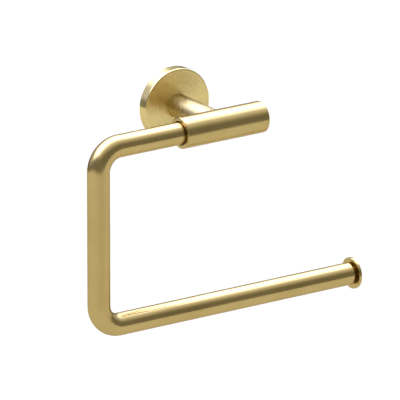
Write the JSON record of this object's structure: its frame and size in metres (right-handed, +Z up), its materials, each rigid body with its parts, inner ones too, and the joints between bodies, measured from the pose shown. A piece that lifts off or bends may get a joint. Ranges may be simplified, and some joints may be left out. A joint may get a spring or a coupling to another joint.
{
  "type": "toilet paper holder",
  "caption": "Wall-mounted toilet paper holder: round flange, short post and barrel, from which an open bent-tube arm swings, with a disc on its free end.",
  "frame": {"origin": "centre of the wall flange's back, on the wall plane", "axes": "+Y into the wall, so the holder stands out towards -Y; +X towards the arm's free end, along the barrel; +Z up"},
  "size_m": [0.2082, 0.0675, 0.1565],
  "materials": {
    "brushed_brass": "brushed satin",
    "turned_brass": "as turned",
    "plate_steel": "zinc plated",
    "fastener_steel": "plain stainless",
    "bush_plastic": "moulded",
    "ring_rubber": "moulded"
  },
  "bodies": {
    "wall_bracket": {"flange_cover": "brushed_brass", "post_tube": "brushed_brass", "barrel_tube": "brushed_brass", "barrel_end_cap": "brushed_brass", "post_plug": "turned_brass", "pivot_block": "turned_brass", "mounting_plate": "plate_steel", "tie_bolt": "fastener_steel", "tie_bolt_washer": "fastener_steel", "locating_pin": "fastener_steel", "flange_set_screw": "fastener_steel", "stop_screw": "fastener_steel", "outer_bush": "bush_plastic", "inner_bush": "bush_plastic", "thrust_washer": "bush_plastic", "cap_o_ring": "ring_rubber"},
    "arm": {"arm_tube": "brushed_brass", "pivot_journal": "brushed_brass", "retaining_clip": "fastener_steel", "end_plug": "turned_brass", "end_disc": "brushed_brass"}
  },
  "joints": [
    {"name": "arm_swing", "type": "hinge", "parent": "wall_bracket", "child": "arm", "pos_m": [0, -0.057, 0], "axis": [-1, 0, 0], "range_deg": [-15, 95]}
  ]
}
